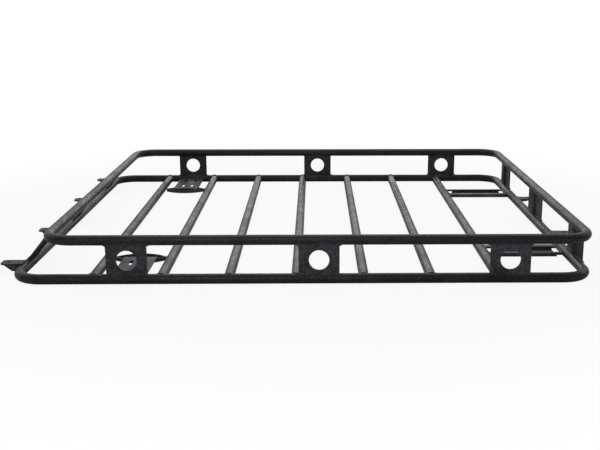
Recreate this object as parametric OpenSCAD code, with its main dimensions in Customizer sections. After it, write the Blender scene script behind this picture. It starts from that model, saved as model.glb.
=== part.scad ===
// Welded roof basket of round steel tube: two closed loops one above the other,
// crossbars that form the floor, plates between the loops, tabs for lamps and
// feet that take the bolts. The front of the basket points along -X, the left
// side is -Y, and z = 0 is the underside of the lower loop.

/* [Loops] */
// Length of the lower loop, outside to outside
loop_l = 1524; // [1450:1:1650]
// Width of both loops, outside to outside
loop_w = 1371.6; // [1250:0.1:1500]
// Height from the centre line of the lower loop to that of the upper loop
loop_rise = 103.6; // [90:0.1:130]
// How far the upper loop's front tube lies behind the lower one
front_setback = 84; // [60:1:110]
// Centre line radius of the corner bends
corner_r = 70; // [55:1:90]
// Outside diameter of the loop tubes
rail_d = 26.9; // [24:0.1:30]
// Wall of the loop tubes
rail_wall = 1.65; // [1.2:0.05:3]

/* [Crossbars] */
// Distance from the lower front tube to the first crossbar
bar_start = 205; // [190:0.1:220]
// Distance from the last crossbar to the lower rear tube
bar_end = 238.6; // [230:0.1:250]
// Outside diameter of the crossbars
bar_d = 26.9; // [22:0.1:28]
// Wall of the crossbars
bar_wall = 1.65; // [1.2:0.05:3]

/* [Plates between the loops] */
// Thickness of the plates
plate_t = 3.2; // [2:0.1:5]
// How far a plate's outer face lies inside the outer faces of the tubes
plate_sink = 3.5; // [0:0.1:6]
// Radius of the flare at each corner of a plate
plate_flare = 8; // [4:0.5:14]
// Width of a side plate
side_plate_w = 105.5; // [95:0.5:120]
// Distance between neighbouring side plates
side_plate_pitch = 494; // [450:1:510]
// Round hole in the middle of a side plate
side_hole_d = 52.5; // [40:0.5:58]
// Width of the middle plate at the rear
rear_mid_w = 182; // [160:1:200]
// Width of the two outer plates at the rear
rear_outer_w = 150; // [130:1:170]
// Width of the plates at the front
front_plate_w = 105.5; // [95:0.5:120]
// Distance from a side tube to the middle of the outer plates at the front and rear
end_plate_inset = 185.6; // [175:0.1:215]
// Radius of the pressed rib in the plates at the front and at the rear
rib_r = 12; // [8:0.5:14]

/* [Lamp tabs] */
// Distance from the centre line to the inner pair of tabs
tab_inner_y = 214; // [190:1:240]
// Distance from a side tube to the outer pair of tabs
tab_outer_inset = 102.6; // [95:0.1:120]
// Distance from the centre line to the pair of tabs at the rear
rear_tab_y = 245; // [225:1:265]
// Width of a tab
tab_w = 38; // [30:0.5:44]
// How far a tab reaches past the face of the loop tube
tab_reach = 46; // [38:0.5:52]
// Height of a front tab's top over the centre line of the lower loop
tab_rise = 17.6; // [16:0.1:26]
// Height of a rear tab's top over that line
rear_tab_rise = 11.2; // [9:0.1:13]
// Thickness of a tab's top and of its side flanges
tab_t = 4; // [3:0.1:6]
// Depth of a front tab's side flanges, from its top to their lower edge
tab_depth = 20.7; // [16:0.1:24]
// Depth of a rear tab's side flanges
rear_tab_depth = 8.7; // [7:0.1:12]
// How far the lower edge of the flanges reaches past the face of the loop tube
tab_heel = 14; // [8:0.5:20]
// Distance from a tab's tip to the front end of its flanges
tab_lead = 10; // [6:0.5:16]
// Radius of the corners at a tab's tip
tab_corner_r = 9; // [5:0.5:14]
// Hole for the lamp's bolt
tab_hole_d = 11; // [8:0.1:14]
// Distance from a tab's tip to the middle of its hole
tab_hole_inset = 19; // [15:0.5:24]

/* [Feet and channels] */
// Sheet that the feet and the rear channels are pressed from
sheet_t = 3.2; // [2:0.1:5]
// Width of a foot's neck along the loop's side tube
neck_w = 91; // [80:1:110]
// Length of a foot's neck from the side tube
neck_l = 203.5; // [190:0.5:215]
// Distance from the side tube to the middle of a foot's pan
pan_inset = 206.1; // [195:0.1:215]
// Width of the pan across the basket
pan_w = 65; // [50:0.5:80]
// Depth of the pan
pan_depth = 11; // [7:0.1:14]
// Gap between the pan's points and the crossbars beside them
pan_gap = 3.5; // [2:0.1:8]
// Width of the tongues that tie the pan to the crossbars
tongue_w = 8; // [5:0.5:15]
// Outer pair of bolt slots in a foot's neck: width
outer_slot_w = 9; // [7:0.1:11]
// Outer pair of bolt slots: length
outer_slot_l = 50; // [44:1:60]
// Distance between the two outer slots
outer_slot_pitch = 37; // [30:0.5:50]
// Distance from the side tube to the middle of the outer slots
outer_slot_inset = 49.3; // [46:0.1:56]
// Inner pair of bolt slots in a foot's neck: width
inner_slot_w = 10; // [8:0.1:12]
// Inner pair of bolt slots: length
inner_slot_l = 42; // [34:1:46]
// Distance between the two inner slots
inner_slot_pitch = 32; // [26:0.5:44]
// Distance from the side tube to the middle of the inner slots
inner_slot_inset = 145.3; // [136:0.1:147]
// Distance from the side tube to the middle of a rear channel
channel_inset = 270.5; // [255:0.5:285]
// Width of a rear channel's recess
recess_w = 58; // [46:0.5:64]
// Length of the recess
recess_l = 176; // [150:1:185]
// How far the recess lies behind the middle of the channel
recess_shift = 4.5; // [0:0.5:7]
// Depth of the recess
recess_depth = 13.3; // [9:0.1:14]
// Length of the opening that the recess lies in
window_l = 203; // [190:1:207]
// Corner radius of that opening
window_r = 8; // [4:0.5:20]
// Width of a rear channel's inner flange
flange_inner_w = 22; // [18:0.5:30]
// Width of a rear channel's outer flange
flange_outer_w = 10; // [8:0.5:16]
// Height of the lip along the edge of the inner flange
lip_inner_h = 11.2; // [8:0.1:13]
// Height of the lip along the edge of the outer flange
lip_outer_h = 7; // [5:0.1:11]
// Bolt slots in the recess: width
channel_slot_w = 11; // [8:0.1:14]
// Bolt slots in the recess: length
channel_slot_l = 56; // [40:1:64]
// Distance between the middles of a channel's two slots
channel_slot_pitch = 80; // [70:1:90]

/* [Hidden] */
// Root gap of the welds, so that no two pieces share space
weld_gap = 0.2;
// Length added to a cutter so that it passes through a face
past = 1;
$fn = 64;

axis_z = rail_d / 2;
top_z = axis_z + loop_rise;
side_y = loop_w / 2 - rail_d / 2;
rear_x = loop_l / 2 - rail_d / 2;
low_front_x = -rear_x;
up_front_x = low_front_x + front_setback;
slope_angle = atan2(front_setback, loop_rise);
slope_l = norm([front_setback, loop_rise]);

bar_count = 7;
bar_pitch = (rear_x - low_front_x - bar_start - bar_end) / (bar_count - 1);
bar_x = [for (i = [0 : bar_count - 1]) low_front_x + bar_start + i * bar_pitch];
// The side plates are centred on the upper loop
plate_mid_x = (up_front_x + rear_x) / 2;
plate_x = [for (i = [-1 : 1]) plate_mid_x + i * side_plate_pitch];
end_plate_y = [for (i = [-1 : 1]) i * (side_y - end_plate_inset)];
rear_plate_w = [rear_outer_w, rear_mid_w, rear_outer_w];
tab_outer_y = side_y - tab_outer_inset;
tab_y = [-tab_outer_y, -tab_inner_y, tab_inner_y, tab_outer_y];

// How far a plate's middle plane lies outside the centre lines of the tubes
plate_out = rail_d / 2 - plate_t / 2 - plate_sink;
// Height at which a plate's middle plane meets the tube it is welded to
plate_seat = sqrt(pow(rail_d / 2, 2) - pow(plate_out, 2));

// The sheet of the feet and channels is centred on the tubes' axes
sheet_z = axis_z - sheet_t / 2;
sheet_top = sheet_z + sheet_t;
foot_x = (bar_x[0] + bar_x[1]) / 2;
pan_y = side_y - pan_inset;
pan_half = bar_pitch / 2 - bar_d / 2 - pan_gap;
pan_r = (pow(pan_half, 2) + pow(pan_w / 2, 2)) / pan_w;
channel_x = (bar_x[bar_count - 1] + bar_d / 2 + rear_x - rail_d / 2) / 2;
recess_x = channel_x + recess_shift;
channel_y = side_y - channel_inset;

// Straight tube of length l that starts at the origin and runs along +Z
module tube(l, d, wall) {
    difference() {
        cylinder(h = l, d = d);
        translate([0, 0, -past]) cylinder(h = l + 2 * past, d = d - 2 * wall);
    }
}

// Loop tube along X on the side with sign s, from x0 to x1, with its axis at height z
module side_tube(s, x0, x1, z) {
    color("dimgray")
        translate([x0, s * side_y, z])
            rotate([0, 90, 0])
                tube(x1 - x0, rail_d, rail_wall);
}

// Loop tube along Y between the two bends of an end
module end_tube(x, z) {
    half = side_y - corner_r;
    color("dimgray")
        translate([x, half, z])
            rotate([90, 0, 0])
                tube(2 * half, rail_d, rail_wall);
}

// Quarter bend of a loop; sx and sy say which corner, x is the end tube's place
module bend(sx, sy, x, z) {
    color("dimgray")
        translate([x - sx * corner_r, sy * (side_y - corner_r), z])
            rotate([0, 0, sx > 0 ? (sy > 0 ? 0 : 270) : (sy > 0 ? 90 : 180)])
                rotate_extrude(angle = 90)
                    translate([corner_r, 0])
                        difference() {
                            circle(d = rail_d);
                            circle(d = rail_d - 2 * rail_wall);
                        }
}

// Cutter as thick as a loop tube plus the weld's root gap, centred, along X
module rail_cutter(l) {
    rotate([0, 90, 0]) cylinder(h = l, d = rail_d + 2 * weld_gap, center = true);
}

// Cutter as thick as a crossbar plus the weld's root gap, along Y at x
module bar_cutter(x) {
    translate([x, 0, axis_z])
        rotate([90, 0, 0])
            cylinder(h = loop_w, d = bar_d + 2 * weld_gap, center = true);
}

// Both side tubes of the lower loop as cutters
module side_cutters() {
    for (s = [-1, 1])
        translate([0, s * side_y, axis_z]) rail_cutter(loop_l);
}

// Crossbar number i, its ends coped to the side tubes
module crossbar(i) {
    color("gray")
        difference() {
            translate([bar_x[i], side_y, axis_z])
                rotate([90, 0, 0])
                    tube(2 * side_y, bar_d, bar_wall);
            side_cutters();
        }
}

// Concave fillet of a plate's outline, at the corner x on height z
module flare(x, z) {
    translate([x, 0])
        difference() {
            square([plate_flare, z + plate_flare]);
            translate([plate_flare, z + plate_flare]) circle(r = plate_flare);
        }
}

// Outline of a plate that is w wide between two tubes whose axes are l apart
module plate_outline(w, l) {
    translate([-w / 2, 0]) square([w, l]);
    for (side = [0, 1], end = [0, 1])
        mirror([side, 0])
            translate([0, end * l])
                mirror([0, end])
                    flare(w / 2, plate_seat);
}

// Plate between two tubes: x runs along the tubes, z from the lower tube's axis
// to the upper one's, and +y points out of the basket
module plate(w, l) {
    difference() {
        translate([0, plate_out + plate_t / 2, 0])
            rotate([90, 0, 0])
                linear_extrude(height = plate_t)
                    plate_outline(w, l);
        for (z = [0, l])
            translate([0, 0, z]) rail_cutter(2 * w);
    }
}

// Side plate: the plain plate with its round hole
module side_plate(s, x) {
    color("dimgray")
        translate([x, s * side_y, axis_z])
            rotate([0, 0, s > 0 ? 0 : 180])
                difference() {
                    plate(side_plate_w, loop_rise);
                    translate([0, plate_out, loop_rise / 2])
                        rotate([90, 0, 0])
                            cylinder(h = 2 * plate_t, d = side_hole_d, center = true);
                }
}

// Plate with a half round rib pressed inwards from tube to tube
module ribbed_plate(w, l) {
    inner_y = plate_out - plate_t / 2;
    difference() {
        union() {
            plate(w, l);
            difference() {
                translate([0, inner_y + plate_t, 0]) cylinder(h = l, r = rib_r);
                translate([-w / 2, inner_y + plate_t, -past]) cube([w, w, l + 2 * past]);
                for (z = [0, l])
                    translate([0, 0, z]) rail_cutter(2 * w);
            }
        }
        translate([0, inner_y + plate_t, -past]) cylinder(h = l + 2 * past, r = rib_r - plate_t);
    }
}

module rear_plate(i) {
    color("dimgray")
        translate([rear_x, end_plate_y[i], axis_z])
            rotate([0, 0, -90])
                ribbed_plate(rear_plate_w[i], loop_rise);
}

// The plates at the front lean back with the upper loop
module front_plate(i) {
    color("dimgray")
        translate([low_front_x, end_plate_y[i], axis_z])
            rotate([0, slope_angle, 0])
                rotate([0, 0, 90])
                    ribbed_plate(front_plate_w, slope_l);
}

// Lamp tab: a flat top with one bolt hole over two tapered side flanges. It points
// along +X; the loop tube's axis runs along Y through the origin. Its top lies rise
// above that axis, and its flanges end depth below its top.
module tab(rise, depth) {
    face_x = rail_d / 2;
    tip_x = face_x + tab_reach;
    low_z = rise - depth;
    difference() {
        union() {
            translate([0, 0, rise - tab_t])
                linear_extrude(height = tab_t) {
                    translate([0, -tab_w / 2]) square([tip_x - tab_corner_r, tab_w]);
                    translate([0, tab_corner_r - tab_w / 2]) square([tip_x, tab_w - 2 * tab_corner_r]);
                    for (s = [-1, 1])
                        translate([tip_x - tab_corner_r, s * (tab_w / 2 - tab_corner_r)])
                            circle(r = tab_corner_r);
                }
            for (y = [tab_t - tab_w / 2, tab_w / 2])
                translate([0, y, 0])
                    rotate([90, 0, 0])
                        linear_extrude(height = tab_t)
                            polygon([[0, low_z], [face_x + tab_heel, low_z],
                                [tip_x - tab_lead, rise - tab_t], [0, rise - tab_t]]);
        }
        rotate([0, 0, 90]) rail_cutter(2 * tab_w);
        translate([tip_x - tab_hole_inset, 0, rise - tab_t - past])
            cylinder(h = tab_t + 2 * past, d = tab_hole_d);
    }
}

module lamp_tab(i) {
    color("dimgray")
        translate([low_front_x, tab_y[i], axis_z])
            rotate([0, 0, 180])
                tab(tab_rise, tab_depth);
}

module rear_tab(s) {
    color("dimgray")
        translate([rear_x, s * rear_tab_y, axis_z])
            tab(rear_tab_rise, rear_tab_depth);
}

// Slot outline, w wide and l long from end to end, along X
module slot_outline(w, l) {
    square([l - w, w], center = true);
    for (s = [-1, 1])
        translate([s * (l - w) / 2, 0]) circle(d = w);
}

// Outline of a foot's pan between two arcs, moved outwards by shift
module pan_outline(shift) {
    intersection_for (s = [-1, 1])
        translate([foot_x, pan_y + s * (pan_r - pan_w / 2)]) circle(r = pan_r + shift);
}

// Foot on the right side: a flat neck from the side tube, and under its inner end a
// pressed pan that is open at the top and tied to two crossbars by its tongues
module foot() {
    tongue_l = pan_gap + 2 * sheet_t;
    difference() {
        union() {
            translate([foot_x - neck_w / 2, side_y - neck_l, sheet_z])
                cube([neck_w, neck_l, sheet_t]);
            translate([0, 0, sheet_top - pan_depth])
                difference() {
                    linear_extrude(height = pan_depth) pan_outline(0);
                    translate([0, 0, sheet_t])
                        linear_extrude(height = pan_depth) pan_outline(-sheet_t);
                }
            for (s = [-1, 1])
                translate([foot_x + s * (pan_half + pan_gap - tongue_l / 2), pan_y,
                    sheet_z + sheet_t / 2])
                    cube([tongue_l + 2 * past, tongue_w, sheet_t], center = true);
        }
        bar_cutter(bar_x[0]);
        bar_cutter(bar_x[1]);
        side_cutters();
        translate([0, 0, sheet_z - past])
            linear_extrude(height = sheet_t + 2 * past) {
                for (s = [-1, 1]) {
                    translate([foot_x + s * outer_slot_pitch / 2, side_y - outer_slot_inset])
                        rotate([0, 0, 90])
                            slot_outline(outer_slot_w, outer_slot_l);
                    translate([foot_x + s * inner_slot_pitch / 2, side_y - inner_slot_inset])
                        rotate([0, 0, 90])
                            slot_outline(inner_slot_w, inner_slot_l);
                }
            }
    }
}

module front_foot(s) {
    color("gray") mirror([0, s > 0 ? 0 : 1, 0]) foot();
}

// Rectangle l long along X and w wide with round corners, centred
module round_outline(l, w, r) {
    square([l, w - 2 * r], center = true);
    square([l - 2 * r, w], center = true);
    for (sx = [-1, 1], sy = [-1, 1])
        translate([sx * (l / 2 - r), sy * (w / 2 - r)]) circle(r = r);
}

// Rear channel on the right side: a sheet from the last crossbar to the rear tube
// with a lip along both edges, deeper inside, and an opening in which the recess hangs
module channel() {
    inner_y = channel_y - recess_w / 2 - flange_inner_w;
    outer_y = channel_y + recess_w / 2 + flange_outer_w;
    bar_7_x = bar_x[bar_count - 1];
    difference() {
        union() {
            difference() {
                translate([bar_7_x, inner_y, sheet_z])
                    cube([rear_x - bar_7_x, outer_y - inner_y, sheet_t]);
                translate([channel_x, channel_y, sheet_z - past])
                    linear_extrude(height = sheet_t + 2 * past)
                        round_outline(window_l, recess_w, window_r);
            }
            for (lip = [[inner_y, lip_inner_h], [outer_y - sheet_t, lip_outer_h]])
                translate([bar_7_x, lip[0], sheet_top - lip[1]])
                    cube([rear_x - bar_7_x, sheet_t, lip[1]]);
            translate([recess_x - recess_l / 2, channel_y - recess_w / 2 - sheet_t,
                sheet_top - recess_depth])
                difference() {
                    cube([recess_l, recess_w + 2 * sheet_t, recess_depth]);
                    translate([-past, sheet_t, sheet_t])
                        cube([recess_l + 2 * past, recess_w, recess_depth]);
                }
        }
        bar_cutter(bar_7_x);
        translate([rear_x, 0, axis_z]) rotate([0, 0, 90]) rail_cutter(loop_w);
        translate([recess_x, channel_y, sheet_top - recess_depth - past])
            linear_extrude(height = sheet_t + 2 * past)
                for (s = [-1, 1])
                    translate([s * channel_slot_pitch / 2, 0])
                        slot_outline(channel_slot_w, channel_slot_l);
    }
}

module rear_channel(s) {
    color("gray") mirror([0, s > 0 ? 0 : 1, 0]) channel();
}

low_x0 = low_front_x + corner_r;
up_x0 = up_front_x + corner_r;
rail_x1 = rear_x - corner_r;

side_tube(-1, low_x0, rail_x1, axis_z);  // lower_rail_left
side_tube(1, low_x0, rail_x1, axis_z);  // lower_rail_right
end_tube(low_front_x, axis_z);  // lower_front_tube
end_tube(rear_x, axis_z);  // lower_rear_tube
bend(-1, -1, low_front_x, axis_z);  // lower_bend_front_left
bend(-1, 1, low_front_x, axis_z);  // lower_bend_front_right
bend(1, -1, rear_x, axis_z);  // lower_bend_rear_left
bend(1, 1, rear_x, axis_z);  // lower_bend_rear_right
side_tube(-1, up_x0, rail_x1, top_z);  // upper_rail_left
side_tube(1, up_x0, rail_x1, top_z);  // upper_rail_right
end_tube(up_front_x, top_z);  // upper_front_tube
end_tube(rear_x, top_z);  // upper_rear_tube
bend(-1, -1, up_front_x, top_z);  // upper_bend_front_left
bend(-1, 1, up_front_x, top_z);  // upper_bend_front_right
bend(1, -1, rear_x, top_z);  // upper_bend_rear_left
bend(1, 1, rear_x, top_z);  // upper_bend_rear_right
crossbar(0);  // crossbar_1
crossbar(1);  // crossbar_2
crossbar(2);  // crossbar_3
crossbar(3);  // crossbar_4
crossbar(4);  // crossbar_5
crossbar(5);  // crossbar_6
crossbar(6);  // crossbar_7
side_plate(-1, plate_x[0]);  // side_plate_left_1
side_plate(-1, plate_x[1]);  // side_plate_left_2
side_plate(-1, plate_x[2]);  // side_plate_left_3
side_plate(1, plate_x[0]);  // side_plate_right_1
side_plate(1, plate_x[1]);  // side_plate_right_2
side_plate(1, plate_x[2]);  // side_plate_right_3
rear_plate(0);  // rear_plate_left
rear_plate(1);  // rear_plate_middle
rear_plate(2);  // rear_plate_right
front_plate(0);  // front_plate_left
front_plate(1);  // front_plate_middle
front_plate(2);  // front_plate_right
lamp_tab(0);  // lamp_tab_1
lamp_tab(1);  // lamp_tab_2
lamp_tab(2);  // lamp_tab_3
lamp_tab(3);  // lamp_tab_4
rear_tab(-1);  // rear_tab_left
rear_tab(1);  // rear_tab_right
front_foot(-1);  // front_foot_left
front_foot(1);  // front_foot_right
rear_channel(-1);  // rear_channel_left
rear_channel(1);  // rear_channel_right
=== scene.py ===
import math

import bpy
import numpy as np
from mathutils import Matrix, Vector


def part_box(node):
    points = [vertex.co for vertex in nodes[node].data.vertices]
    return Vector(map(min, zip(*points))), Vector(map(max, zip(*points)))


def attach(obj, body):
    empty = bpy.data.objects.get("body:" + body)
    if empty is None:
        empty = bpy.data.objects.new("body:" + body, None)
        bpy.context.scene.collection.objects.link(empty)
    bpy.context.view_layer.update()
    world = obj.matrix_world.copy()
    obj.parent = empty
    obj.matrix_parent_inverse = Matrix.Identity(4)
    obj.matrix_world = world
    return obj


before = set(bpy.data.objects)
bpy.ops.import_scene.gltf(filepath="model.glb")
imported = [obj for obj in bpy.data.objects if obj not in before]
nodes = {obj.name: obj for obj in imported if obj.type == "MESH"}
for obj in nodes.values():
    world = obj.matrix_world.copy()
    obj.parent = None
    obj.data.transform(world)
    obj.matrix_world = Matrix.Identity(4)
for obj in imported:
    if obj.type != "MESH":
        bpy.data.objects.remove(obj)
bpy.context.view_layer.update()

scene = bpy.context.scene

# Powder coat
# Every piece of the rack is mild steel, blasted and then sprayed with a textured black
# powder that melts in the oven to a fine, dry grain. It is thinner on sharp edges, where
# the steel lightens it, and a trace of dust lies on what faces up. The coat is made in
# lighter and darker copies as painted light and painted shade: darker on the loops,
# lighter on the plates, tabs, feet and channels, whose extra dust also paints a sheen.
mm = 0.001
coat_black = (0.016, 0.0157, 0.0190, 1.0)
coat_thin = (0.060, 0.060, 0.066, 1.0)
dust_and_sheen_grey = (0.100, 0.099, 0.103, 1.0)


def new_group(name, inputs, outputs):
    """An empty shader node group with its inputs as (socket type, name, default) and outputs."""
    group = bpy.data.node_groups.new(name, "ShaderNodeTree")
    for kind, label, default in inputs:
        socket = group.interface.new_socket(label, in_out="INPUT", socket_type=kind)
        socket.default_value = default
    for kind, label in outputs:
        group.interface.new_socket(label, in_out="OUTPUT", socket_type=kind)
    return group, group.nodes.new("NodeGroupInput"), group.nodes.new("NodeGroupOutput")


def add_node(tree, kind, settings=None, **sockets):
    """One node with its settings, and the values or links of its inputs by socket name."""
    node = tree.nodes.new(kind)
    for key, value in (settings or {}).items():
        setattr(node, key, value)
    for key, value in sockets.items():
        wanted = key.replace("_", " ")
        socket = next(s for s in node.inputs if s.name == wanted and s.enabled)
        if isinstance(value, bpy.types.NodeSocket):
            tree.links.new(value, socket)
        else:
            socket.default_value = value
    return node


def math_node(tree, operation, first, second=0.0, third=0.0):
    """The result of one Math node, whose inputs are values or links."""
    node = tree.nodes.new("ShaderNodeMath")
    node.operation = operation
    for socket, value in zip(node.inputs, (first, second, third)):
        if isinstance(value, bpy.types.NodeSocket):
            tree.links.new(value, socket)
        else:
            socket.default_value = value
    return node.outputs[0]


def map_range(tree, value, low, high, to_low=0.0, to_high=1.0):
    """value between low and high, moved smoothly to the range from to_low to to_high."""
    node = add_node(tree, "ShaderNodeMapRange", {"interpolation_type": "SMOOTHSTEP"},
                    Value=value, From_Min=low, From_Max=high, To_Min=to_low, To_Max=to_high)
    return node.outputs["Result"]


def mix_colour(tree, factor, first, second):
    """first and second blended by factor."""
    node = tree.nodes.new("ShaderNodeMix")
    node.data_type = "RGBA"
    for name, value in (("Factor_Float", factor), ("A_Color", first), ("B_Color", second)):
        socket = next(s for s in node.inputs if s.identifier == name)
        if isinstance(value, bpy.types.NodeSocket):
            tree.links.new(value, socket)
        else:
            socket.default_value = value
    return next(s for s in node.outputs if s.identifier == "Result_Color")


def powder_grain_group():
    """The grain of the powder: fine pimples over a softer orange peel, as one height, and a
    mottle of the colour from larger clouds."""
    tree, given, result = new_group(
        "powder_grain",
        [("NodeSocketFloat", "Grain", 1400.0), ("NodeSocketFloat", "Peel", 0.4),
         ("NodeSocketFloat", "Clouds", 130.0)],
        [("NodeSocketFloat", "Height"), ("NodeSocketFloat", "Mottle")])
    place = tree.nodes.new("ShaderNodeTexCoord").outputs["Object"]
    pimples = add_node(tree, "ShaderNodeTexVoronoi", {"feature": "SMOOTH_F1"}, Vector=place,
                       Scale=given.outputs["Grain"], Smoothness=0.6).outputs["Distance"]
    peel_scale = math_node(tree, "MULTIPLY", given.outputs["Grain"], 0.28)
    peel = add_node(tree, "ShaderNodeTexNoise", Vector=place, Scale=peel_scale,
                    Detail=2.0, Roughness=0.55).outputs["Fac"]
    height = math_node(tree, "MULTIPLY_ADD", peel, given.outputs["Peel"], pimples)
    clouds = add_node(tree, "ShaderNodeTexNoise", Vector=place, Detail=5.0, Roughness=0.62,
                      Scale=given.outputs["Clouds"]).outputs["Fac"]
    patches = add_node(tree, "ShaderNodeTexNoise", Vector=place, Scale=14.0, Detail=2.0,
                       Roughness=0.5).outputs["Fac"]
    both = math_node(tree, "MULTIPLY_ADD", patches, 0.3, math_node(tree, "MULTIPLY", clouds, 0.7))
    tree.links.new(height, result.inputs["Height"])
    tree.links.new(map_range(tree, both, 0.38, 0.62), result.inputs["Mottle"])
    return tree


def edge_wear_group():
    """1 where the surface turns sharply within Reach, which is where a rounded normal leaves
    the true one, broken up by noise; 0 on flat ground."""
    tree, given, result = new_group(
        "edge_wear", [("NodeSocketFloat", "Reach", 1.5 * mm)], [("NodeSocketFloat", "Mask")])
    rounded = add_node(tree, "ShaderNodeBevel", {"samples": 4}, Radius=given.outputs["Reach"])
    true_normal = tree.nodes.new("ShaderNodeNewGeometry").outputs["Normal"]
    alike = add_node(tree, "ShaderNodeVectorMath", {"operation": "DOT_PRODUCT"})
    tree.links.new(rounded.outputs["Normal"], alike.inputs[0])
    tree.links.new(true_normal, alike.inputs[1])
    turn = math_node(tree, "SUBTRACT", 1.0, alike.outputs["Value"])
    place = tree.nodes.new("ShaderNodeTexCoord").outputs["Object"]
    chips = add_node(tree, "ShaderNodeTexNoise", Vector=place, Scale=160.0, Detail=4.0,
                     Roughness=0.7).outputs["Fac"]
    broken = math_node(tree, "MULTIPLY", map_range(tree, turn, 0.01, 0.22),
                       map_range(tree, chips, 0.34, 0.66, 0.25, 1.0))
    tree.links.new(broken, result.inputs["Mask"])
    return tree


def dust_and_sheen_group():
    """The share of fine dust, and of a painted sheen where the amount is raised: on what faces
    up, in soft drifts.
    """
    tree, given, result = new_group(
        "settled_dust_and_sheen", [("NodeSocketFloat", "Amount", 0.3)], [("NodeSocketFloat", "Mask")])
    normal = tree.nodes.new("ShaderNodeNewGeometry").outputs["Normal"]
    up = add_node(tree, "ShaderNodeSeparateXYZ", Vector=normal).outputs["Z"]
    place = tree.nodes.new("ShaderNodeTexCoord").outputs["Object"]
    drifts = add_node(tree, "ShaderNodeTexNoise", Vector=place, Scale=140.0, Detail=6.0,
                      Roughness=0.65).outputs["Fac"]
    drift = map_range(tree, drifts, 0.36, 0.64, 0.15, 1.2)
    lying = math_node(tree, "MULTIPLY", map_range(tree, up, 0.55, 1.0), drift)
    tree.links.new(math_node(tree, "MULTIPLY", lying, given.outputs["Amount"]),
                   result.inputs["Mask"])
    return tree


powder_grain = powder_grain_group()
edge_wear = edge_wear_group()
settled_dust_and_sheen = dust_and_sheen_group()


def place_group(tree, group, **values):
    """A node that holds a group, with its inputs set."""
    node = tree.nodes.new("ShaderNodeGroup")
    node.node_tree = group
    for name, value in values.items():
        node.inputs[name].default_value = value
    return node


def powder_coat(name, shade, clouds, grain, relief, roughness, wear_reach, dust_and_sheen):
    """Textured black powder coat. shade is its lightness beside the plain black, partly the
    coat's tone and partly painted light and painted shade, clouds and grain are how many
    clouds and pimples fit in a metre, relief is the pimples' depth, roughness the gloss at
    rest, wear_reach the width of the thin coat at an edge, and dust the share of real dust
    on what faces up, which on the channels also paints a sheen."""
    material = bpy.data.materials.new(name)
    material.use_nodes = True
    tree = material.node_tree
    shader = tree.nodes["Principled BSDF"]
    coat = place_group(tree, powder_grain, Grain=grain, Clouds=clouds)
    worn = place_group(tree, edge_wear, Reach=wear_reach).outputs["Mask"]
    dust_and_sheen_share = place_group(tree, settled_dust_and_sheen, Amount=dust_and_sheen).outputs["Mask"]
    mottle = coat.outputs["Mottle"]
    darker = tuple(0.45 * shade * c for c in coat_black[:3]) + (1.0,)
    lighter = tuple(1.85 * shade * c for c in coat_black[:3]) + (1.0,)
    colour = mix_colour(tree, mottle, darker, lighter)
    colour = mix_colour(tree, worn, colour, coat_thin)
    colour = mix_colour(tree, dust_and_sheen_share, colour, dust_and_sheen_grey)
    tree.links.new(colour, shader.inputs["Base Color"])
    gloss = map_range(tree, mottle, 0.0, 1.0, roughness + 0.09, roughness - 0.07)
    gloss = math_node(tree, "MULTIPLY_ADD", worn, -0.08, gloss)
    gloss = math_node(tree, "MULTIPLY_ADD", dust_and_sheen_share, 0.2, gloss)
    tree.links.new(gloss, shader.inputs["Roughness"])
    bump = add_node(tree, "ShaderNodeBump", Height=coat.outputs["Height"], Strength=0.55,
                    Distance=relief)
    tree.links.new(bump.outputs["Normal"], shader.inputs["Normal"])
    shader.inputs["Specular IOR Level"].default_value = 0.25
    shader.inputs["IOR"].default_value = 1.5
    return material


def dress(name, material):
    """Gives a CAD node its finish."""
    node = nodes[name]
    node.data.materials.clear()
    node.data.materials.append(material)


# Loop tubes
# The two loops are 26.9 mm round tube, bent at the corners over a die and closed with a
# butt weld. The upper loop is shorter, because its front is set back.
# The loops' coat is painted darker than the bars' coat, as painted shade.
loop_coat = powder_coat("loop_coat", shade=0.65, clouds=160.0, grain=1300.0,
                        relief=0.12 * mm, roughness=0.40, wear_reach=1.2 * mm, dust_and_sheen=0.30)
for level in ("lower", "upper"):
    for piece in ("rail_left", "rail_right", "front_tube", "rear_tube", "bend_front_left",
                  "bend_front_right", "bend_rear_left", "bend_rear_right"):
        dress(level + "_" + piece, loop_coat)


# Crossbars
# Seven bars of the same tube make the floor. Their ends are coped to the side tubes and
# welded round all but the underside, which would stand proud of the lower loop.
bar_coat = powder_coat("bar_coat", shade=0.8, clouds=160.0, grain=1350.0,
                       relief=0.12 * mm, roughness=0.37, wear_reach=1.2 * mm, dust_and_sheen=0.30)
bar_names = ["crossbar_%d" % (i + 1) for i in range(7)]
for bar_name in bar_names:
    dress(bar_name, bar_coat)

weld_coat = powder_coat("weld_coat", shade=1.3, clouds=200.0, grain=1100.0,
                        relief=0.08 * mm, roughness=0.36, wear_reach=0.8 * mm, dust_and_sheen=0.30)
ripple_pitch = 2.4 * mm
bead_sides = 10


def unit(vectors):
    """Each row divided by its length."""
    return vectors / np.linalg.norm(vectors, axis=-1, keepdims=True)


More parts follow.
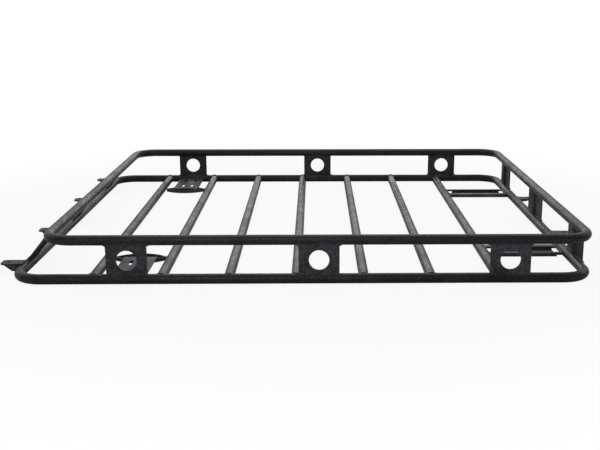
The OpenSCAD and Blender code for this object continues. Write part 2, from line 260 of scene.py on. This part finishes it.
def weld_bead(path, outward, radius):
    """Weld bead along a path. On each point of the path stands a ring: path + r (cos a times
    the outward direction + sin a times the direction across). r swells and sinks with the
    distance along the path like a row of scales, which lag behind at the sides, and falls to
    zero at both ends. Returns the points, the four-sided faces and the two end faces."""
    tangent = unit(np.gradient(path, axis=0))
    across = unit(np.cross(tangent, outward))
    outward = np.cross(across, tangent)
    steps = np.linalg.norm(np.diff(path, axis=0), axis=1)
    along = np.concatenate([[0.0], np.cumsum(steps)])
    angle = np.arange(bead_sides) * 2.0 * math.pi / bead_sides
    lag = 0.55 * np.sin(angle) ** 2
    phase = along[:, None] / ripple_pitch - lag[None, :]
    r = radius * (0.90 + 0.14 * np.abs(np.sin(math.pi * phase)))
    r *= 1.0 + 0.06 * np.sin(along[:, None] * 310.0 + path[0, 0] * 97.0)
    rest = np.minimum(along, along[-1] - along) / radius
    r *= np.sqrt(1.0 - (1.0 - np.clip(rest, 0.02, 1.0)) ** 2)[:, None]
    ring = (np.cos(angle)[None, :, None] * outward[:, None, :]
            + np.sin(angle)[None, :, None] * across[:, None, :])
    points = (path[:, None, :] + r[:, :, None] * ring).reshape(-1, 3)
    count = len(path)
    row = np.arange(count - 1)[:, None] * bead_sides
    next_row = row + bead_sides
    here = np.arange(bead_sides)[None, :]
    there = (here + 1) % bead_sides
    faces = np.stack([row + here, next_row + here, next_row + there, row + there], -1)
    faces = faces.reshape(-1, 4)
    first = list(range(bead_sides))
    last = list(range((count - 1) * bead_sides, count * bead_sides))[::-1]
    return points, faces, [first, last]


def solid_piece(name, surfaces, material):
    """One smooth mesh from several closed surfaces, in the material, riding on the frame."""
    all_points = []
    all_faces = []
    start = 0
    for points, faces, caps in surfaces:
        all_points.append(points)
        all_faces += (faces + start).tolist()
        all_faces += [[i + start for i in cap] for cap in caps]
        start += len(points)
    mesh = bpy.data.meshes.new(name)
    mesh.from_pydata(np.concatenate(all_points).tolist(), [], all_faces)
    mesh.validate()
    mesh.shade_smooth()
    piece = bpy.data.objects.new(name, mesh)
    scene.collection.objects.link(piece)
    piece.data.materials.append(material)
    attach(piece, "root")
    return piece


rail_low, rail_high = (np.array(corner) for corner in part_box("lower_rail_right"))
tube_r = (rail_high[2] - rail_low[2]) / 2
axis_z = (rail_high[2] + rail_low[2]) / 2
side_y = (rail_high[1] + rail_low[1]) / 2
bar_weld_r = 2.6 * mm
bare_half_angle = math.radians(40.0)
for side, sign in (("left", -1.0), ("right", 1.0)):
    beads = []
    for bar_name in bar_names:
        low, high = (np.array(corner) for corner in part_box(bar_name))
        bar_r = (high[0] - low[0]) / 2
        turn = np.linspace(bare_half_angle - math.pi / 2, 1.5 * math.pi - bare_half_angle, 110)
        across_x = bar_r * np.cos(turn)
        up_z = bar_r * np.sin(turn)
        depth = np.sqrt(np.clip(tube_r ** 2 - up_z ** 2, 0.0, None))
        path = np.stack([(low[0] + high[0]) / 2 + across_x, sign * (side_y - depth),
                         axis_z + up_z], -1)
        from_bar = np.stack([np.cos(turn), 0 * turn, np.sin(turn)], -1)
        from_tube = np.stack([0 * turn, -sign * depth, up_z], -1) / tube_r
        beads.append(weld_bead(path, unit(from_bar + from_tube), bar_weld_r))
    solid_piece("crossbar_welds_" + side, beads, weld_coat)


# Plates between the loops
# Flat strip, sheared to length with a flare at each corner, is welded to both loops along
# its two long seams, outside and inside. The end plates have a half round rib pressed in.
# The plates' coat is painted much lighter than the loops' coat, as painted light where the
# upright plates face the front lamp; the tabs and feet share it.
plate_coat = powder_coat("plate_coat", shade=2.1, clouds=200.0, grain=1050.0,
                         relief=0.16 * mm, roughness=0.52, wear_reach=1.6 * mm, dust_and_sheen=0.25)
upper_low, upper_high = (np.array(corner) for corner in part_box("upper_rail_right"))
loop_rise = (upper_high[2] + upper_low[2]) / 2 - axis_z
front_x = np.array(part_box("lower_front_tube")[0])[0] + tube_r
rear_x = np.array(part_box("lower_rear_tube")[1])[0] - tube_r
setback = np.array(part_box("upper_front_tube")[0])[0] + tube_r - front_x
plate_low, plate_high = (np.array(corner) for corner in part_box("side_plate_right_1"))
outer_face = plate_high[1] - side_y
inner_face = plate_low[1] - side_y
rib_r = 12.0 * mm
seam_end = 1.5 * mm


def plate_seams(origin, along, outward, up, width, length, rib):
    """Four long seams of one plate, each a straight bead where a face of the plate meets the
    round of a tube. Measured from the lower tube's axis, a face that lies out from the axes
    by d meets a tube of radius R at the height root of (R squared - d squared). A rib parts
    each seam in two."""
    half = width / 2 - seam_end
    spans = [(-half, half)] if rib == 0 else [(-half, -rib), (rib, half)]
    beads = []
    for face, facing, bead_r in ((outer_face, 1.0, 3.0 * mm), (inner_face, -1.0, 2.5 * mm)):
        rise = math.sqrt(tube_r ** 2 - face ** 2)
        for level, upright in ((rise, 1.0), (length - rise, -1.0)):
            lean = facing + face / tube_r
            aim = unit(lean * outward + upright * rise / tube_r * up)
            for start, end in spans:
                run = np.linspace(start, end, max(int((end - start) / (0.8 * mm)), 8))
                path = origin + run[:, None] * along + face * outward + level * up
                beads.append(weld_bead(path, np.broadcast_to(aim, path.shape), bead_r))
    return beads


x_way = np.array([1.0, 0.0, 0.0])
y_way = np.array([0.0, 1.0, 0.0])
z_way = np.array([0.0, 0.0, 1.0])
for side, sign in (("left", -1.0), ("right", 1.0)):
    beads = []
    for i in range(3):
        name = "side_plate_%s_%d" % (side, i + 1)
        dress(name, plate_coat)
        low, high = (np.array(corner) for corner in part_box(name))
        origin = np.array([(low[0] + high[0]) / 2, sign * side_y, axis_z])
        beads += plate_seams(origin, x_way, sign * y_way, z_way, high[0] - low[0],
                             loop_rise, 0)
    solid_piece("side_plate_welds_" + side, beads, weld_coat)

slope = unit(np.array([setback, 0.0, loop_rise]))
front_out = np.cross(slope, y_way)
ends = {"rear": (rear_x, x_way, z_way, loop_rise),
        "front": (front_x, front_out * np.sign(front_out[0]) * -1.0, slope,
                  math.hypot(setback, loop_rise))}
for end, (tube_x, outward, up, length) in ends.items():
    beads = []
    for place in ("left", "middle", "right"):
        name = "%s_plate_%s" % (end, place)
        dress(name, plate_coat)
        low, high = (np.array(corner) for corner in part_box(name))
        origin = np.array([tube_x, (low[1] + high[1]) / 2, axis_z])
        beads += plate_seams(origin, y_way, outward, up, high[1] - low[1], length,
                             rib_r + 0.5 * mm)
    solid_piece(end + "_plate_welds", beads, weld_coat)


# Lamp tabs
# Each tab is a small flat top with two tapered side flanges, which are coped to the loop
# tube and welded to it along their outer faces. The tops of the two at the rear end on the
# slope of the tube, and have a level bead there too.
tab_weld_r = 2.2 * mm
beads = []
for name, tube_x, sign in (("lamp_tab_1", front_x, -1.0), ("lamp_tab_2", front_x, -1.0),
                           ("lamp_tab_3", front_x, -1.0), ("lamp_tab_4", front_x, -1.0),
                           ("rear_tab_left", rear_x, 1.0), ("rear_tab_right", rear_x, 1.0)):
    dress(name, plate_coat)
    low, high = (np.array(corner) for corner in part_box(name))
    foot_turn = math.asin((low[2] - axis_z) / tube_r) + math.radians(6.0)
    top_turn = math.asin(min((high[2] - axis_z) / tube_r, 0.995))
    turn = np.linspace(foot_turn, top_turn, 40)
    radial = np.stack([sign * np.cos(turn), 0 * turn, np.sin(turn)], -1)
    for edge_y, flank in ((low[1], -1.0), (high[1], 1.0)):
        path = np.array([tube_x, edge_y, axis_z]) + tube_r * radial
        beads.append(weld_bead(path, unit(radial + flank * y_way), tab_weld_r))
    if name.startswith("rear"):
        run = np.linspace(low[1] + seam_end, high[1] - seam_end, 45)
        path = np.array([tube_x, 0.0, axis_z]) + tube_r * radial[-1] + run[:, None] * y_way
        aim = unit(radial[-1] + z_way)
        beads.append(weld_bead(path, np.broadcast_to(aim, path.shape), tab_weld_r))
solid_piece("tab_welds", beads, weld_coat)


# Front feet and rear channels
# Both are pressed from the same sheet, which meets the tubes on their axes, so the beads
# lie in the corner above and below the sheet.
# The channels' coat is painted as light as the plates' coat, as painted light, and its larger
# dust share, beside real dust, paints a sheen on their flat tops.
channel_coat_painted_light = powder_coat("channel_coat_painted_light", shade=2.1, clouds=200.0, grain=1050.0,
                           relief=0.14 * mm, roughness=0.40, wear_reach=1.6 * mm, dust_and_sheen=0.45)
for side in ("left", "right"):
    dress("front_foot_" + side, plate_coat)
    dress("rear_channel_" + side, channel_coat_painted_light)
sheet_t = 3.2 * mm
sheet_weld_r = 2.4 * mm


def sheet_seams(centre, along, into_tube, length, radius):
    """Two straight beads, above and below a level sheet that ends against a tube whose axis
    passes through centre."""
    beads = []
    reach = math.sqrt(radius ** 2 - (sheet_t / 2) ** 2)
    run = np.linspace(-length / 2, length / 2, max(int(length / (0.8 * mm)), 8))
    for face in (1.0, -1.0):
        path = (centre - reach * into_tube + run[:, None] * along
                + face * sheet_t / 2 * z_way)
        aim = unit(face * z_way - into_tube)
        beads.append(weld_bead(path, np.broadcast_to(aim, path.shape), sheet_weld_r))
    return beads


def bar_place(name):
    """Middle along X and the radius of a crossbar."""
    low, high = (np.array(corner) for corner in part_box(name))
    return (low[0] + high[0]) / 2, (high[0] - low[0]) / 2


bar_1_x, bar_r = bar_place("crossbar_1")
bar_2_x, bar_r = bar_place("crossbar_2")
bar_7_x, bar_r = bar_place("crossbar_7")
neck_w = 91.0 * mm
beads = []
for side, sign in (("left", -1.0), ("right", 1.0)):
    centre = np.array([(bar_1_x + bar_2_x) / 2, sign * side_y, axis_z])
    beads += sheet_seams(centre, x_way, sign * y_way, neck_w - 2 * seam_end, tube_r)
solid_piece("foot_welds", beads, weld_coat)
beads = []
for side in ("left", "right"):
    low, high = (np.array(corner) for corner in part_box("rear_channel_" + side))
    middle = (low[1] + high[1]) / 2
    length = high[1] - low[1] - 2 * seam_end
    beads += sheet_seams(np.array([bar_7_x, middle, axis_z]), y_way, -x_way, length, bar_r)
    beads += sheet_seams(np.array([rear_x, middle, axis_z]), y_way, x_way, length, tube_r)
solid_piece("channel_welds", beads, weld_coat)


# Floor
# A pale studio floor, white away from the rack, that keeps a soft shadow under it.
floor_half = 14.0
floor_mesh = bpy.data.meshes.new("floor")
floor_mesh.from_pydata([(-floor_half, -floor_half, 0), (floor_half, -floor_half, 0),
                        (floor_half, floor_half, 0), (-floor_half, floor_half, 0)],
                       [], [(0, 1, 2, 3)])
floor = bpy.data.objects.new("floor", floor_mesh)
scene.collection.objects.link(floor)
floor_paint = bpy.data.materials.new("floor_paint")
floor_paint.use_nodes = True
tree = floor_paint.node_tree
tree.nodes.clear()
matte = add_node(tree, "ShaderNodeBsdfDiffuse", Color=(0.86, 0.86, 0.86, 1.0))
white = add_node(tree, "ShaderNodeEmission", Color=(1.0, 1.0, 1.0, 1.0), Strength=1.0)
rays = tree.nodes.new("ShaderNodeLightPath")
place = tree.nodes.new("ShaderNodeTexCoord").outputs["Object"]
away = add_node(tree, "ShaderNodeVectorMath", {"operation": "LENGTH"})
tree.links.new(place, away.inputs[0])
seen_white = map_range(tree, away.outputs["Value"], 0.9, 1.8, 0.90, 1.0)
mirrored_white = map_range(tree, away.outputs["Value"], 0.9, 1.8, 0.02, 0.40)
plain = math_node(tree, "MAXIMUM", rays.outputs["Is Camera Ray"],
                  rays.outputs["Is Transmission Ray"])
share = math_node(tree, "MAXIMUM", math_node(tree, "MULTIPLY", plain, seen_white),
                  math_node(tree, "MULTIPLY", rays.outputs["Is Glossy Ray"], mirrored_white))
mix = tree.nodes.new("ShaderNodeMixShader")
tree.links.new(share, mix.inputs[0])
tree.links.new(matte.outputs[0], mix.inputs[1])
tree.links.new(white.outputs[0], mix.inputs[2])
output = tree.nodes.new("ShaderNodeOutputMaterial")
tree.links.new(mix.outputs[0], output.inputs["Surface"])
floor.data.materials.append(floor_paint)


# Studio light
# One wide soft box overhead, one in front, one on either side and a low panel behind, whose
# light grazes what faces up. The world is white where it is seen, and for mirrored light it
# is white behind the rack and dim behind the camera.
def soft_box(name, place, target, size, power):
    """Square area lamp that looks from place at target, given in metres and watts."""
    lamp = bpy.data.lights.new(name, "AREA")
    lamp.size = size
    lamp.energy = power
    box = bpy.data.objects.new(name, lamp)
    box.location = place
    aim = np.array(target) - np.array(place)
    level = math.hypot(aim[0], aim[1])
    box.rotation_euler = (math.atan2(level, -aim[2]), 0.0, math.atan2(-aim[0], aim[1]))
    scene.collection.objects.link(box)
    return box


soft_box("light_top", (0.0, 0.3, 2.6), (0.0, 0.0, 0.0), 2.6, 27.0)
soft_box("light_front", (-0.3, -2.4, 1.1), (0.0, -0.5, 0.05), 1.4, 11.0)
soft_box("light_left", (-3.2, 0.2, 1.4), (0.0, 0.0, 0.05), 1.4, 4.0)
soft_box("light_right", (3.2, 0.6, 1.4), (0.0, 0.0, 0.05), 1.4, 4.0)
soft_box("light_back", (0.0, 4.2, 1.3), (0.0, 0.0, 0.1), 2.6, 23.0)

world = bpy.data.worlds.new("studio")
world.use_nodes = True
scene.world = world
tree = world.node_tree
tree.nodes.clear()
room_grey = 0.22
camera_side_grey = 0.22
way = add_node(tree, "ShaderNodeSeparateXYZ",
               Vector=tree.nodes.new("ShaderNodeTexCoord").outputs["Generated"])
backdrop = map_range(tree, way.outputs["Y"], -0.15, 0.85, camera_side_grey, 1.0)
above_horizon = map_range(tree, way.outputs["Z"], -0.02, 0.32, 0.25, 1.0)
backdrop = math_node(tree, "MULTIPLY", backdrop, above_horizon)
rays = tree.nodes.new("ShaderNodeLightPath")
plain = math_node(tree, "MAXIMUM", rays.outputs["Is Camera Ray"],
                  rays.outputs["Is Transmission Ray"])
mirrored = math_node(tree, "MULTIPLY", rays.outputs["Is Glossy Ray"], backdrop)
level = math_node(tree, "MAXIMUM", math_node(tree, "MAXIMUM", plain, mirrored), room_grey)
sky = add_node(tree, "ShaderNodeBackground", Color=(1.0, 1.0, 1.0, 1.0), Strength=level)
output = tree.nodes.new("ShaderNodeOutputWorld")
tree.links.new(sky.outputs[0], output.inputs["Surface"])


# Camera
# A long lens from the left side, a little above the rack, with a small shift.
camera_data = bpy.data.cameras.new("camera")
camera_data.sensor_width = 36.0
camera_data.lens = 55.835
camera_data.shift_x = -0.0487
camera = bpy.data.objects.new("camera", camera_data)
camera.location = (0.03182, -2.97947, 0.73088)
camera.rotation_euler = (math.pi / 2 - 0.2443, -0.0008, -0.0155)
scene.collection.objects.link(camera)
scene.camera = camera
scene.view_settings.view_transform = "Standard"
